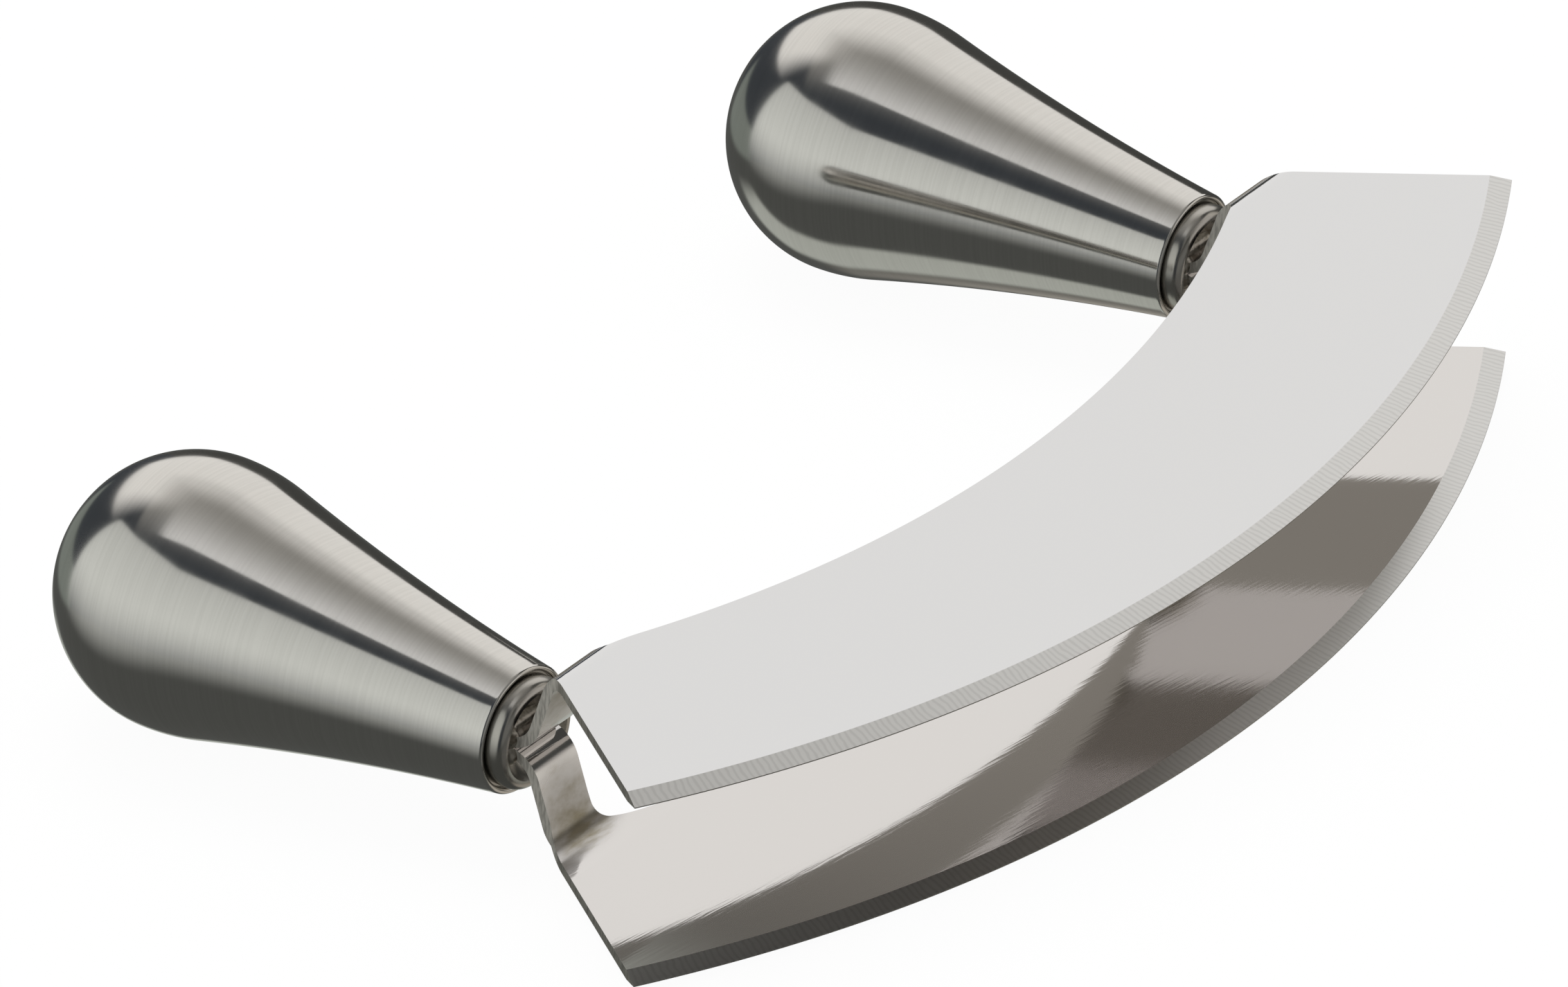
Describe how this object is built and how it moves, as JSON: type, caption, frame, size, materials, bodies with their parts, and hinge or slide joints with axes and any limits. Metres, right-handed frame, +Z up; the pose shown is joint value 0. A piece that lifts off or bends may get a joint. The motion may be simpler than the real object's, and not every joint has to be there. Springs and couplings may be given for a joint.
{
  "type": "mezzaluna",
  "caption": "Mezzaluna with parallel crescent blades whose tangs are welded into hollow, pear-shaped steel handles, for mincing herbs with a rocking stroke.",
  "frame": {"origin": "middle of the bounding box, at the height of the surface that the mezzaluna lies on", "axes": "+X along the chord of the blades, from the left handle to the right one; +Y from the cutting edges towards the handles; +Z up from the surface that it lies on"},
  "size_m": [0.2, 0.1372, 0.038],
  "materials": {
    "blade_steel": "fine ground",
    "handle_steel": "satin, brushed round the handle",
    "cap_steel": "turned",
    "weld_metal": "as welded, wire-brushed"
  },
  "bodies": {
    "root": {"upper_blade": "blade_steel", "lower_blade": "blade_steel", "left_handle_shell": "handle_steel", "right_handle_shell": "handle_steel", "left_end_cap": "cap_steel", "right_end_cap": "cap_steel", "left_tang_weld": "weld_metal", "right_tang_weld": "weld_metal"}
  },
  "joints": []
}
